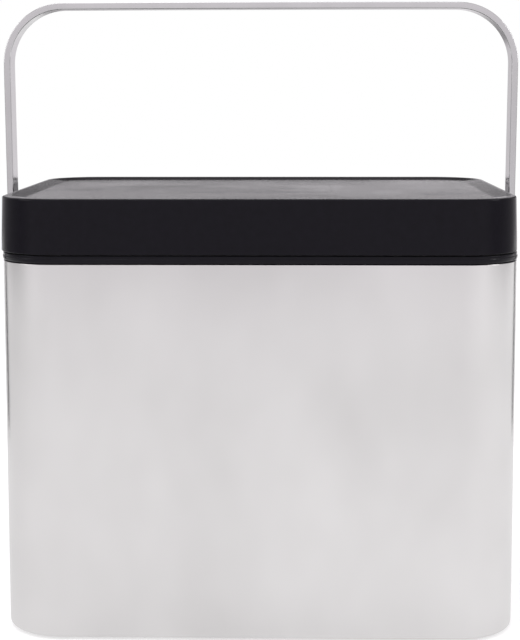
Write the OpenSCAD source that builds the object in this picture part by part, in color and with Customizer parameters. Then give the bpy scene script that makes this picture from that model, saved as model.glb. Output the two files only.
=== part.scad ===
// Compost caddy with a hinged lid and a strap handle.
//
// Millimetres, +Z up, +X to the object's right seen from its front, +Y to its back.
// The origin is on the floor under the middle of the whole object's box, hinges
// included, so the body's own centre line lies a little in front of it.
//
// Every outline that runs round the caddy is the steel body's outline moved in or
// out by an "offset": 0 is the steel's outer face, negative is inwards.

/* [Body] */
// Width of the steel body
body_w = 242; // [200:1:300]
// Depth of the steel body, front to back
body_d = 180; // [150:1:240]
// Radius of the body's upright corners
corner_r = 28; // [24:1:40]
// Height of the steel sleeve
sleeve_h = 176.4; // [120:0.1:260]
// Thickness of the steel sheet
sheet_t = 0.7; // [0.5:0.1:1.2]
// Radius where the steel turns under at the foot
foot_turn_r = 2; // [1.5:0.5:4]
// Width of the steel edge turned under the base
turned_edge = 8; // [5:1:12]

/* [Feet and base] */
// How far the rubber feet lift the steel off the floor
foot_lift = 1; // [0.5:0.5:4]
// Radius of a rubber foot
foot_r = 7; // [5:0.5:10]
// Thickness of the base plate
base_t = 3; // [2:0.5:5]
// Height of the base plate's rim above the plate
base_rim = 4; // [3:1:12]

/* [Collar] */
// Height of the collar's visible band
collar_h = 3.8; // [3.6:0.1:8]
// How far the collar's skirt reaches down inside the steel
skirt_h = 18; // [16:1:30]
// Offset of the collar's mouth from the body's outline, inwards
mouth_in = 7; // [6:0.5:12]
// Thickness of the shelf that carries the bucket's rim
shelf_t = 2; // [1.5:0.5:3]

/* [Bucket] */
// Wall of the inner bucket
bucket_wall = 1.6; // [1.2:0.1:2.5]
// How much the bucket narrows on each side towards its floor
bucket_draft = 4; // [2:0.5:8]
// Gap between the bucket and the base plate
bucket_lift = 4; // [2:1:20]
// Rounding at the bucket's foot
bucket_foot_r = 6; // [4:1:10]

// Width of the two finger tabs on the bucket's rim
tab_w = 44; // [30:1:60]
// How far the finger tabs reach inwards
tab_d = 8; // [5:0.5:12]

/* [Lid] */
// Height of the lid's outer band
lid_h = 25.2; // [23:0.2:36]
// Gap between the lid's band and the collar
parting_gap = 0.6; // [0.4:0.1:1.5]
// How much each side of the lid leans in towards the top
lid_draft = 1.2; // [0.5:0.1:3]
// Wall of the lid's band
lid_wall = 2.2; // [1.8:0.1:3]
// Width of the raised rim round the top
rim_w = 2; // [1.5:0.1:4]
// Depth of the recessed top panel below the rim
recess_depth = 0.9; // [0.6:0.1:3]
// Width of the slope from the rim down to that panel
recess_slope = 8.6; // [2:0.1:12]
// Thickness of the top panel
panel_t = 2.2; // [1.8:0.1:3]
// Width of the plate let into the panel
plate_w = 69; // [40:1:90]
// Depth of the plate let into the panel, front to back
plate_d = 60; // [30:1:80]
// Thickness of that plate
plate_t = 0.8; // [0.6:0.1:1.2]

/* [Lid inside] */
// Height of the liner's plate above the collar's top
liner_up = 15; // [14:0.5:18]
// Width of the charcoal filter
filter_w = 121; // [80:1:150]
// Depth of the charcoal filter, front to back
filter_d = 81; // [60:1:100]
// Thickness of the charcoal filter
filter_t = 8; // [5:0.5:9]
// Thickness of the filter's swinging cover
cover_t = 2.2; // [1.8:0.1:3]

/* [Handle] */
// Clear height between the lid and the handle's top bar
hand_room = 88.1; // [70:0.1:130]
// Width of the strap
strap_w = 13.5; // [10:0.5:20]
// Thickness of the strap
strap_t = 3.2; // [2:0.2:4]
// Gap between the strap and the steel body's side
strap_gap = 3.7; // [3.2:0.1:8]
// Outer radius of the strap's two bends
bend_r = 30; // [20:1:45]
// Distance of the handle's pivots below the collar's top
pivot_drop = 12.2; // [10.6:0.2:13]
// Radius of the pivot pins
pivot_pin_r = 3; // [2.5:0.1:3.5]

/* [Hinge] */
// Radius of the hinge knuckles
knuckle_r = 3.8; // [3.4:0.1:6]
// Radius of the hinge pins
hinge_pin_r = 1.5; // [1:0.1:2]
// Distance of each hinge from the middle
hinge_x = 58; // [40:1:70]

/* [Hidden] */

$fn = 64;
corner_steps = 14;      // facets in each lofted corner
round_steps = 4;        // facets in each lofted edge
past = 1;               // how far a cutting shape runs past what it cuts
LEFT = -1;
RIGHT = 1;
FRONT = -1;
REAR = 1;

// colours
steel_c = "gainsboro";
black_c = "#242427";
grey_c = "dimgray";
rubber_c = "#333333";
pin_c = "silver";

// clearances
fit_gap = 0.1;          // between pieces pushed together
slide_gap = 0.2;        // between faces that slide past each other
pin_gap = 0.06;         // round a pin that turns
seam_gap = 0.3;         // round an inset plate
lid_clear = 0.4;        // between the hinge knuckles and the lid

// heights
sleeve_z = foot_lift;
collar_z = sleeve_z + sleeve_h;
collar_top = collar_z + collar_h;
shelf_z = collar_top - shelf_t;
lid_z = collar_top + parting_gap;
lid_top = lid_z + lid_h;
panel_top = lid_top - recess_depth;
panel_under = panel_top - panel_t;
liner_z = collar_top + liner_up;
pivot_z = collar_top - pivot_drop;

// collar
collar_out = 0.3;
collar_edge = 0.6;      // bevel of the collar's lower outer edge
skirt_t = 2;
rebate_in = 4.6;        // offset of the rebate that holds the bucket's rim
ear_r = 9;

// bucket
tab_r = 4;

// base plate
plate_in = sheet_t + foot_turn_r - 0.4;
rim_t = 3;
rim_from = sleeve_z + foot_turn_r + fit_gap;
foot_stem_r = 3;
foot_stem_h = base_t + 1;
foot_in = (corner_r - turned_edge - foot_r - 1.5) * cos(45);

// lid
lid_out = -0.2;         // offset of the lid's lower edge
lid_edge = 0.3;         // bevel of the lid's lower edge
rim_round = 0.8;
lid_top_in = lid_draft - lid_out;
recess_in = lid_top_in + rim_w;
plate_r = 6;

// liner, its screws and the seal
liner_t = 2;
rib_in = lid_top_in + lid_wall + slide_gap; // offset of the liner's rib, inwards
rib_t = 2;
seal_w = 1;             // seal's thickness on each side of the rib
seal_h = 5;
seal_under = 2;         // seal's thickness under the rib
boss_r = 3.5;
screw_r = 1.3;
screw_head_r = 3;
screw_head_t = 1.6;
screw_inset = 25;       // from the body's sides, front and back

// filter well and its cover
well_gap = 0.5;
well_wall = 2;
well_w = filter_w + 2 * well_gap;
well_d = filter_d + 2 * well_gap;
well_r = 4;
well_out_w = well_w + 2 * well_wall;
well_out_d = well_d + 2 * well_wall;
well_z = liner_z - filter_t;
cover_z = well_z - cover_t;
cover_axis_z = well_z - cover_t / 2;
cover_axis_y = well_out_d / 2 + 3;
cover_barrel_r = 2;
stub_r = 1.5;
stub_l = 4;
cover_ear_t = 3;
cover_ear_w = 6;
slot_n = 9;
slot_w = 4;
latch_w = 16;
latch_h = 5;
latch_t = 1.5;

// handle
strap_in = body_w / 2 + strap_gap;
strap_out = strap_in + strap_t;
handle_top = lid_top + hand_room + strap_t;
washer_t = 0.8;
ear_out = strap_in - slide_gap - washer_t;
pin_head_r = 5.5;
pin_head_t = 1.3;
nut_r = 5;
nut_t = 2.4;
skirt_inner = body_w / 2 - sheet_t - fit_gap - skirt_t;

// hinge
knuckle_l = 9;          // length of each outer knuckle, on the collar
lid_knuckle_l = 16;     // length of the middle knuckle, on the lid
outer_reach = max(lid_out, collar_out);
hinge_y = body_d / 2 + outer_reach + lid_clear + knuckle_r;
hinge_z = collar_top + parting_gap / 2;
hinge_half = lid_knuckle_l / 2 + slide_gap + knuckle_l;
web_h = 3;

// the body's centre line lies this far behind the origin
centre_y = -(hinge_y + knuckle_r - body_d / 2 - outer_reach) / 2;

// ---------------------------------------------------------------- outlines

// Rounded rectangle, w by d, with corner radius r
module rounded(w, d, r) {
    square([w - 2 * r, d], center = true);
    square([w, d - 2 * r], center = true);
    for (x = [-1, 1], y = [-1, 1])
        translate([x * (w / 2 - r), y * (d / 2 - r)]) circle(r);
}

// The body's outline, moved outwards by off
module outline(off) rounded(body_w + 2 * off, body_d + 2 * off, corner_r + off);

module slab(off, z0, z1) translate([0, 0, z0]) linear_extrude(z1 - z0) outline(off);

module band(off_out, off_in, z0, z1) difference() {
    slab(off_out, z0, z1);
    slab(off_in, z0 - past, z1 + past);
}

// Points round the body's outline at one height
function corner(sx, sy, from, off, z) = [
    for (i = [0 : corner_steps])
        let (a = from + 90 * i / corner_steps)
            [sx * (body_w / 2 - corner_r) + (corner_r + off) * cos(a),
             sy * (body_d / 2 - corner_r) + (corner_r + off) * sin(a), z]
];
function ring(off, z) = concat(
    corner(1, 1, 0, off, z), corner(-1, 1, 90, off, z),
    corner(-1, -1, 180, off, z), corner(1, -1, 270, off, z));

// A solid through a list of stations, each [height, offset], from the bottom up
module loft(stations) {
    rings = [for (s = stations) each ring(s[1], s[0])];
    n = 4 * (corner_steps + 1);
    last = len(stations) - 1;
    polyhedron(rings, concat(
        [[for (i = [0 : n - 1]) i]],
        [for (k = [0 : last - 1], i = [0 : n - 1])
            let (j = (i + 1) % n) each [
                [k * n + i, (k + 1) * n + i, k * n + j],
                [k * n + j, (k + 1) * n + i, (k + 1) * n + j]]],
        [[for (i = [n - 1 : -1 : 0]) last * n + i]]));
}

// Stations of a rounded lower edge that starts at height z
function low_round(z, off, r) = [
    for (i = [0 : round_steps])
        let (a = 90 * i / round_steps) [z + r - r * cos(a), off - r + r * sin(a)]];

// Stations of a rounded upper edge that ends at height z
function high_round(z, off, r) = [
    for (i = [0 : round_steps])
        let (a = 90 * i / round_steps) [z - r + r * sin(a), off - r + r * cos(a)]];

// ---------------------------------------------------------------- helpers

module rod_x(r, x0, x1, y, z) translate([x0, y, z]) rotate([0, 90, 0]) cylinder(x1 - x0, r = r);

module block(x0, x1, y0, y1, z0, z1) translate([x0, y0, z0]) cube([x1 - x0, y1 - y0, z1 - z0]);

module plate(w, d, r, z0, z1) translate([0, 0, z0]) linear_extrude(z1 - z0) rounded(w, d, r);

// Both sides of something drawn on the right
module both_sides() for (x = [0, 1]) mirror([x, 0, 0]) children();

module on_side(side) mirror([side == LEFT ? 1 : 0, 0, 0]) children();

module placed() translate([0, centre_y, 0]) children();

// ---------------------------------------------------------------- body

module outer_body() color(steel_c) placed() difference() {
    loft(concat(low_round(sleeve_z, 0, foot_turn_r), [[collar_z, 0]]));
    loft(concat(
        low_round(sleeve_z + sheet_t, -sheet_t, foot_turn_r - sheet_t),
        [[collar_z + past, -sheet_t]]));
    slab(-turned_edge, sleeve_z - past, sleeve_z + sheet_t + past);
    both_sides() rod_x(pivot_pin_r + slide_gap, body_w / 2 - corner_r, body_w / 2 + past, 0, pivot_z);
}

module base_plate() color(grey_c) placed() difference() {
    union() {
        slab(-plate_in, sleeve_z + sheet_t, sleeve_z + sheet_t + base_t);
        band(-sheet_t - fit_gap, -sheet_t - fit_gap - rim_t,
            rim_from, sleeve_z + sheet_t + base_t + base_rim);
    }
    for (x = [LEFT, RIGHT], y = [FRONT, REAR])
        at_foot(x, y) cylinder(sleeve_z + base_t + 2 * past, r = foot_stem_r + fit_gap);
}

module at_foot(side, end)
    translate([side * (body_w / 2 - corner_r + foot_in), end * (body_d / 2 - corner_r + foot_in), 0])
        children();

module foot(side, end) color(rubber_c) placed() at_foot(side, end) {
    cylinder(sleeve_z + sheet_t, r = foot_r);
    cylinder(sleeve_z + sheet_t + foot_stem_h, r = foot_stem_r);
}

module collar() color(black_c) placed() difference() {
    union() {
        loft([
            [collar_z, collar_out - collar_edge],
            [collar_z + collar_edge, collar_out],
            [collar_top - lid_edge, collar_out],
            [collar_top, collar_out - lid_edge]
        ]);
        slab(-sheet_t - fit_gap, collar_z - skirt_h, collar_z + past);
        both_sides() pivot_ear();
        both_sides() collar_knuckles();
    }
    slab(-sheet_t - fit_gap - skirt_t, collar_z - skirt_h - past, shelf_z - shelf_t);
    slab(-mouth_in, shelf_z - shelf_t - past, collar_top + past);
    slab(-rebate_in, shelf_z, collar_top + past);
    both_sides() rod_x(pivot_pin_r, skirt_inner - past, ear_out + past, 0, pivot_z);
    both_sides() rod_x(hinge_pin_r, hinge_x - hinge_half - past, hinge_x + hinge_half + past,
        hinge_y, hinge_z);
}

// The lug outside the steel that the handle turns on
module pivot_ear() {
    inner = body_w / 2 + slide_gap;
    rod_x(ear_r, inner, ear_out, 0, pivot_z);
    block(inner, ear_out, -ear_r, ear_r, pivot_z, collar_top);
    block(body_w / 2 - skirt_t, ear_out, -ear_r, ear_r, collar_z, collar_top);
}

module collar_knuckles() for (s = [-1, 1]) {
    near = hinge_x + s * (lid_knuckle_l / 2 + slide_gap);
    far = hinge_x + s * hinge_half;
    rod_x(knuckle_r, min(near, far), max(near, far), hinge_y, hinge_z);
    block(min(near, far), max(near, far), body_d / 2 - skirt_t, hinge_y, hinge_z - knuckle_r, collar_top);
}

module inner_bucket() color(grey_c) placed() {
    foot_z = sleeve_z + sheet_t + base_t + bucket_lift;
    top_off = -mouth_in - 0.5;
    foot_off = top_off - bucket_draft;
    difference() {
        union() {
            loft(concat(low_round(foot_z, foot_off, bucket_foot_r), [[collar_top, top_off]]));
            slab(-rebate_in - slide_gap, shelf_z, collar_top);
        }
        loft(concat(
            low_round(foot_z + bucket_wall, foot_off - bucket_wall, bucket_foot_r - bucket_wall),
            [[collar_top, top_off - bucket_wall], [collar_top + past, top_off - bucket_wall]]));
    }
    both_sides() finger_tab(body_w / 2 + top_off - bucket_wall);
}

// Tab on the bucket's rim, reaching inwards from the wall's inner face at x
module finger_tab(x) {
    root = bucket_wall + rebate_in / 4;
    translate([x + (root - tab_d) / 2, 0, shelf_z])
        linear_extrude(shelf_t) rounded(tab_d + root, tab_w, tab_r);
}

// ---------------------------------------------------------------- handle

module pivot_pin(side) color(pin_c) placed() on_side(side) {
    rod_x(pivot_pin_r, skirt_inner - nut_t - 0.4, strap_out + slide_gap + 0.5, 0, pivot_z);
    rod_x(pin_head_r, strap_out + slide_gap, strap_out + slide_gap + pin_head_t, 0, pivot_z);
}

module pivot_nut(side) color(pin_c) placed() on_side(side) difference() {
    translate([skirt_inner - nut_t, 0, pivot_z]) rotate([0, 90, 0]) cylinder(nut_t, r = nut_r, $fn = 6);
    rod_x(pivot_pin_r, skirt_inner - nut_t - past, skirt_inner + past, 0, pivot_z);
}

module pivot_washer(side) color("white") placed() on_side(side) difference() {
    rod_x(ear_r - 1, ear_out, ear_out + washer_t, 0, pivot_z);
    rod_x(pivot_pin_r + fit_gap, ear_out - past, ear_out + washer_t + past, 0, pivot_z);
}

module handle_strap() color(steel_c) placed() difference() {
    union() {
        translate([0, strap_w / 2, 0]) rotate([90, 0, 0]) linear_extrude(strap_w) difference() {
            arch(strap_out, handle_top, bend_r);
            arch(strap_in, handle_top - strap_t, bend_r - strap_t);
        }
        both_sides() rod_x(strap_w / 2, strap_in, strap_out, 0, pivot_z);
    }
    both_sides() rod_x(pivot_pin_r + pin_gap, strap_in - past, strap_out + past, 0, pivot_z);
}

// Outline of a bail from the pivots up, half width x, top at height z
module arch(x, z, r) {
    translate([-x, pivot_z]) square([2 * x, z - r - pivot_z]);
    translate([-x + r, pivot_z]) square([2 * (x - r), z - pivot_z]);
    for (s = [LEFT, RIGHT]) translate([s * (x - r), z - r]) circle(r);
}

// ---------------------------------------------------------------- hinge

module hinge_pin(side) color(pin_c) placed() on_side(side)
    rod_x(hinge_pin_r, hinge_x - hinge_half - 0.5, hinge_x + hinge_half + 0.5, hinge_y, hinge_z);

// ---------------------------------------------------------------- lid

module lid_shell() color(black_c) placed() difference() {
    union() {
        difference() {
            loft(concat(
                [[lid_z, lid_out - lid_edge], [lid_z + lid_edge, lid_out]],
                high_round(lid_top, -lid_top_in, rim_round)));
            loft([[lid_z - past, lid_out - lid_wall], [panel_under, -lid_top_in - lid_wall]]);
        }
        screw_places() translate([0, 0, liner_z + liner_t])
            cylinder(panel_under - liner_z - liner_t + panel_t / 2, r = boss_r);
        both_sides() lid_knuckle();
    }
    loft([[panel_top, -recess_in - recess_slope], [lid_top, -recess_in],
        [lid_top + past, -recess_in]]);
    plate(plate_w + 2 * seam_gap, plate_d + 2 * seam_gap, plate_r + seam_gap,
        panel_top - plate_t, panel_top + past);
    vents();
    screw_places() translate([0, 0, liner_z]) cylinder(panel_under - liner_z, r = screw_r);
    both_sides() rod_x(hinge_pin_r + pin_gap, hinge_x - lid_knuckle_l, hinge_x + lid_knuckle_l,
        hinge_y, hinge_z);
}

module lid_knuckle() {
    x0 = hinge_x - lid_knuckle_l / 2;
    x1 = hinge_x + lid_knuckle_l / 2;
    rod_x(knuckle_r, x0, x1, hinge_y, hinge_z);
    block(x0, x1, body_d / 2 - lid_wall / 2, hinge_y, lid_z, hinge_z + knuckle_r);
}

// Slots under the inset plate that let the filter breathe
module vents() for (x = [-2 : 2])
    block(8 * x - 2, 8 * x + 2, -plate_d / 2 + 12, plate_d / 2 - 12, panel_under - past, panel_top);

module screw_places() for (x = [-1, 0, 1], y = [-1, 1])
    translate([x * (body_w / 2 - screw_inset), y * (body_d / 2 - screw_inset), 0]) children();

module centre_plate() color(black_c) placed()
    plate(plate_w, plate_d, plate_r, panel_top - plate_t, panel_top);

module lid_liner() color(grey_c) placed() difference() {
    union() {
        slab(-rib_in, liner_z, liner_z + liner_t);
        band(-rib_in, -rib_in - rib_t, collar_top + seal_under, liner_z + liner_t / 2);
        plate(well_out_w, well_out_d, well_r + well_wall, well_z, liner_z + liner_t / 2);
        both_sides() cover_ear();
    }
    plate(well_w, well_d, well_r, well_z - past, liner_z + liner_t + past);
    screw_places() translate([0, 0, liner_z - past]) cylinder(liner_t + 2 * past, r = screw_r + slide_gap);
    both_sides() rod_x(stub_r + pin_gap, well_out_w / 2, well_out_w, cover_axis_y, cover_axis_z);
}

// Lug under the liner that the cover's stub turns in
module cover_ear() {
    x0 = well_out_w / 2 + seam_gap;
    block(x0, x0 + cover_ear_t, cover_axis_y - cover_ear_w / 2, cover_axis_y + cover_ear_w / 2,
        cover_axis_z - cover_ear_w / 2, liner_z + liner_t / 2);
}

module lid_screws() color(pin_c) placed() screw_places() {
    translate([0, 0, liner_z - screw_head_t]) cylinder(screw_head_t, r = screw_head_r);
    translate([0, 0, liner_z - screw_head_t]) cylinder(screw_head_t + liner_t + 3, r = screw_r);
}

module lid_seal() color(rubber_c) placed() difference() {
    band(-rib_in + seal_w, -rib_in - rib_t - seal_w, collar_top, collar_top + seal_h);
    band(-rib_in, -rib_in - rib_t, collar_top + seal_under, collar_top + seal_h + past);
}

module charcoal_filter() color("black") placed()
    plate(filter_w, filter_d, well_r - well_gap, well_z, well_z + filter_t);

module filter_cover() color(grey_c) placed() {
    half = well_out_w / 2;
    front = -well_out_d / 2;
    difference() {
        union() {
            block(-half, half, front, cover_axis_y, cover_z, well_z);
            rod_x(cover_barrel_r, -half, half, cover_axis_y, cover_axis_z);
            block(-latch_w / 2, latch_w / 2, front - slide_gap - latch_t, front, cover_z, well_z);
            block(-latch_w / 2, latch_w / 2, front - slide_gap - latch_t, front - slide_gap,
                cover_z, well_z + latch_h);
        }
        for (i = [0 : slot_n - 1]) let (x = (i - (slot_n - 1) / 2) * well_w / slot_n)
            block(x - slot_w / 2, x + slot_w / 2, front + 10, -front - 10, cover_z - past, well_z + past);
    }
    both_sides() rod_x(stub_r, half, half + stub_l, cover_axis_y, cover_axis_z);
}

// ---------------------------------------------------------------- nodes

outer_body();
base_plate();
foot(LEFT, FRONT);  // foot_front_left
foot(RIGHT, FRONT);  // foot_front_right
foot(LEFT, REAR);  // foot_rear_left
foot(RIGHT, REAR);  // foot_rear_right
collar();
inner_bucket();
pivot_pin(LEFT);  // left_pivot_pin
pivot_pin(RIGHT);  // right_pivot_pin
pivot_nut(LEFT);  // left_pivot_nut
pivot_nut(RIGHT);  // right_pivot_nut
pivot_washer(LEFT);  // left_pivot_washer
pivot_washer(RIGHT);  // right_pivot_washer
hinge_pin(LEFT);  // left_hinge_pin
hinge_pin(RIGHT);  // right_hinge_pin
handle_strap();
lid_shell();
lid_liner();
lid_screws();
lid_seal();
centre_plate();
charcoal_filter();
filter_cover();
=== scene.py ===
"""Visual model of a compost caddy with a hinged lid and a strap handle.

Laid out as an add-on: the properties hold the sizes and colours, one operator
builds each piece or group of like pieces, one sets the stage, and a panel in the
sidebar lists them. Everything is in metres in the part's own frame: +Z up,
+X to the right seen from the front, +Y to the back.

Most pieces are skins: a closed outline that an offset moves outwards, or inwards
where it is below zero, swept through a profile of (offset, height) points.
"""

from math import cos, pi, radians, sin, tan

import bmesh
import bpy
from mathutils import Matrix, Vector


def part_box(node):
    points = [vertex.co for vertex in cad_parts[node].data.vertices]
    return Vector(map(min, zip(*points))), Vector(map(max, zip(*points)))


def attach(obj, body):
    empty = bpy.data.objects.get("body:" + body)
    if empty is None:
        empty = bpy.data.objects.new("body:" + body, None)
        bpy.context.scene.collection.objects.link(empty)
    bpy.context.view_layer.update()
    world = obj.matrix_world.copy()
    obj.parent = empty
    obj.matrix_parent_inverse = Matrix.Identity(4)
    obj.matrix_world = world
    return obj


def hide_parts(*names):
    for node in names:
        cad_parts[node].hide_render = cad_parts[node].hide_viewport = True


bl_info = {
    "name": "Compost Caddy",
    "version": (1, 0, 0),
    "blender": (4, 5, 0),
    "location": "View3D > Sidebar > Caddy",
    "description": "Builds a steel compost caddy with a hinged lid and a strap handle",
    "category": "Object",
}

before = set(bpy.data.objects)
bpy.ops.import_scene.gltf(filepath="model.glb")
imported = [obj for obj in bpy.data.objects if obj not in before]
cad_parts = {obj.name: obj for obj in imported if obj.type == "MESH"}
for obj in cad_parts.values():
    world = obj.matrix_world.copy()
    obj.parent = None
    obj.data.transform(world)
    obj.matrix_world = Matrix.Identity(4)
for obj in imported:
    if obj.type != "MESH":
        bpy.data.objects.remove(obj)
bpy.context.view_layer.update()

MM = 0.001

# Places that the frame gives
STEEL_LOW, STEEL_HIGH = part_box("outer_body")
HALF_W = STEEL_HIGH.x
HALF_D = (STEEL_HIGH.y - STEEL_LOW.y) / 2
MID_Y = (STEEL_HIGH.y + STEEL_LOW.y) / 2
STEEL_Z = STEEL_LOW.z
COLLAR_LOW, COLLAR_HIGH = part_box("collar")
BUCKET_LOW, BUCKET_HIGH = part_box("inner_bucket")
COLLAR_TOP = BUCKET_HIGH.z
LID_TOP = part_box("lid_shell")[1].z
STRAP_LOW, STRAP_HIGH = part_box("handle_strap")
STRAP_W = STRAP_HIGH.y - STRAP_LOW.y
PIVOT_Z = STRAP_LOW.z + STRAP_W / 2
PIVOT_LOW, PIVOT_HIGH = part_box("right_pivot_pin")
HINGE_LOW, HINGE_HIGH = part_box("right_hinge_pin")
HINGE_X, HINGE_Y, HINGE_Z = ((low + high) / 2 for low, high in zip(HINGE_LOW, HINGE_HIGH))
PLATE_LOW, PLATE_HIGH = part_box("centre_plate")
PANEL_Z = PLATE_HIGH.z
FILTER_LOW, FILTER_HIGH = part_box("charcoal_filter")
SEAL_LOW, SEAL_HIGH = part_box("lid_seal")
SCREWS_LOW, SCREWS_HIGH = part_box("lid_screws")
LINER_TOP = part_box("lid_liner")[1].z

# Places and sizes that several pieces share
STEEL_TOP = STEEL_HIGH.z - 0.12 * MM  # the band of the collar comes down over the steel's edge
SHELF_Z = COLLAR_TOP - 2 * MM  # the collar's ledge, which carries the bucket's rim
HINGE_PIN_R = 1.5 * MM


# ---- profiles

def eased(corners, closed=False, steps=4):
    """Points (offset, height) through corners (offset, height, radius), each corner rounded."""
    count = len(corners)
    points = []
    for i, (off, z, radius) in enumerate(corners):
        here = Vector((off, z))
        if radius == 0 or (not closed and i in (0, count - 1)):
            points.append(tuple(here))
            continue
        back = (Vector(corners[i - 1][:2]) - here).normalized()
        on = (Vector(corners[(i + 1) % count][:2]) - here).normalized()
        half = back.angle(on) / 2
        centre = here + (back + on).normalized() * radius / sin(half)
        start = here + back * radius / tan(half) - centre
        end = here + on * radius / tan(half) - centre
        sweep = pi - 2 * half
        for k in range(steps + 1):
            t = k / steps
            spot = (sin((1 - t) * sweep) * start + sin(t * sweep) * end) / sin(sweep)
            points.append(tuple(centre + spot))
    return points


def rounded_box(half_w, half_d, radius, mid=(0.0, 0.0), steps=20):
    """The outline function of a rounded rectangle."""
    def outline(off):
        points = []
        for quarter, (sx, sy) in enumerate(((1, 1), (-1, 1), (-1, -1), (1, -1))):
            for k in range(steps + 1):
                angle = (quarter + k / steps) * pi / 2
                points.append((
                    mid[0] + sx * (half_w - radius) + (radius + off) * cos(angle),
                    mid[1] + sy * (half_d - radius) + (radius + off) * sin(angle)))
        return points
    return outline


def disc(radius, mid, steps=48):
    """The outline function of a circle."""
    def outline(off):
        return [(mid[0] + (radius + off) * cos(2 * pi * k / steps),
                 mid[1] + (radius + off) * sin(2 * pi * k / steps)) for k in range(steps)]
    return outline


def body_line(steps=24, x=0.0):
    """The outline function of the body, with its middle at x."""
    radius = bpy.context.scene.caddy_body.corner_radius
    return rounded_box(HALF_W, HALF_D, radius, (x, MID_Y), steps)


def plate_line(spare):
    """The inset plate's outline function, with room of the given width all round it."""
    half_w = (PLATE_HIGH.x - PLATE_LOW.x) / 2 + spare
    half_d = (PLATE_HIGH.y - PLATE_LOW.y) / 2 + spare
    return rounded_box(half_w, half_d, 6 * MM + spare, (0, MID_Y), 8)


# ---- meshes

def ring_faces(n, rings, closed=False):
    """Faces between each ring of n vertices and the next, and from last to first if closed."""
    faces = []
    for k in range(rings if closed else rings - 1):
        m = (k + 1) % rings
        for i in range(n):
            j = (i + 1) % n
            faces.append((k * n + i, k * n + j, m * n + j, m * n + i))
    return faces


def skin(outline, profile, closed=False, axis="Z"):
    """Vertices and faces of an outline swept through a profile of (offset, height) points.

    A closed profile joins up with itself, and an open one is capped at both ends.
    Along X the outline's two numbers are Y and Z, and the height is X.
    """
    verts = []
    for off, height in profile:
        for u, v in outline(off):
            verts.append((u, v, height) if axis == "Z" else (height, u, v))
    rings = len(profile)
    n = len(verts) // rings
    faces = ring_faces(n, rings, closed)
    if not closed:
        faces.append(tuple(reversed(range(n))))
        faces.append(tuple((rings - 1) * n + i for i in range(n)))
    return verts, faces


def eased_skin(outline, corners, closed=False, axis="Z", steps=4):
    """A skin whose profile goes through corners (offset, height, radius), each one rounded."""
    return skin(outline, eased(corners, closed, steps), closed, axis)


def rod(radius, x0, x1, y, z, ease=0.0, steps=48):
    """A rod along X, its ends eased if asked."""
    corners = [(0, x0, 0), (0, x1, 0)]
    if ease:
        corners = [(-radius / 2, x0, 0), (0, x0, ease), (0, x1, ease), (-radius / 2, x1, 0)]
    return eased_skin(disc(radius, (y, z), steps), corners, axis="X")


def peg(radius, z0, z1, x, y, steps=32):
    """A plain upright cylinder, used for cutting and for bosses."""
    return skin(disc(radius, (x, y), steps), [(0, z0), (0, z1)])


def slab(outline, z0, z1, ease=0.0):
    """An upright slab of the given outline function, its upper edge eased if asked."""
    corners = [(0, z0, 0), (0, z1, 0)]
    if ease:
        corners = [(0, z0, 0), (0, z1, ease), (-2 * ease, z1, 0)]
    return eased_skin(outline, corners)


def block(low, high):
    """A plain box between two corners, used for cutting and as a root inside other parts."""
    (x0, y0, z0), (x1, y1, z1) = low, high
    verts = [(x, y, z) for z in (z0, z1) for x, y in ((x0, y0), (x1, y0), (x1, y1), (x0, y1))]
    faces = [(3, 2, 1, 0), (4, 5, 6, 7), (0, 1, 5, 4), (1, 2, 6, 5), (2, 3, 7, 6), (3, 0, 4, 7)]
    return verts, faces


def mirrored(part):
    """The same part on the object's left side."""
    verts, faces = part
    return [(-x, y, z) for x, y, z in verts], [tuple(reversed(f)) for f in faces]


def both(part):
    """The part on the right and on the left."""
    return [part, mirrored(part)]


def raw_object(name, parts):
    """An object that holds the given (vertices, faces) parts as separate shells."""
    verts, faces = [], []
    for part_verts, part_faces in parts:
        base = len(verts)
        verts.extend(part_verts)
        faces.extend(tuple(base + i for i in face) for face in part_faces)
    mesh = bpy.data.meshes.new(name)
    mesh.from_pydata(verts, [], faces)
    bm = bmesh.new()
    bm.from_mesh(mesh)
    bmesh.ops.remove_doubles(bm, verts=bm.verts, dist=1e-7)
    bmesh.ops.recalc_face_normals(bm, faces=bm.faces)
    bm.to_mesh(mesh)
    bm.free()
    obj = bpy.data.objects.new(name, mesh)
    bpy.context.scene.collection.objects.link(obj)
    return obj


def settle(obj):
    """Turns an object's modifiers into its mesh."""
    graph = bpy.context.evaluated_depsgraph_get()
    made = bpy.data.meshes.new_from_object(obj.evaluated_get(graph))
    old = obj.data
    obj.modifiers.clear()
    obj.data = made
    bpy.data.meshes.remove(old)


def combine(obj, parts, operation):
    """Adds parts to an object's solid, or cuts them from it, one at a time."""
    for part in parts:
        tool = raw_object("tool", [part])
        change = obj.modifiers.new("combine", "BOOLEAN")
        change.operation = operation
        change.solver = "EXACT"
        change.object = tool
        settle(obj)
        bpy.data.objects.remove(tool)
    if len(obj.data.polygons) < 4:
        raise RuntimeError(f"{obj.name}: nothing is left of the solid")


def finish_piece(obj, body, look, nodes, smooth=35.0):
    """Smooths and paints a piece, hangs it on the body it rides on, and hides the nodes it stands
    for.

    look makes its material. Edges that turn by more than smooth, in degrees, stay sharp.
    """
    mesh = obj.data
    mesh.shade_smooth()
    mesh.set_sharp_from_angle(angle=radians(smooth))
    weighted = obj.modifiers.new("soft edges", "WEIGHTED_NORMAL")
    weighted.keep_sharp = True
    mesh.materials.clear()
    mesh.materials.append(kept(look))
    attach(obj, body)
    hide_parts(*nodes)


def soften_node(name, look, width=0.25 * MM):
    """A CAD node keeps its shape, with its sharp edges eased and a material of its own."""
    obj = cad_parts[name]
    bevel = obj.modifiers.new("eased edges", "BEVEL")
    bevel.width = width
    bevel.segments = 2
    bevel.limit_method = "ANGLE"
    bevel.angle_limit = radians(50)
    obj.data.materials.clear()
    obj.data.materials.append(kept(look))


# ---- materials

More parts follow.
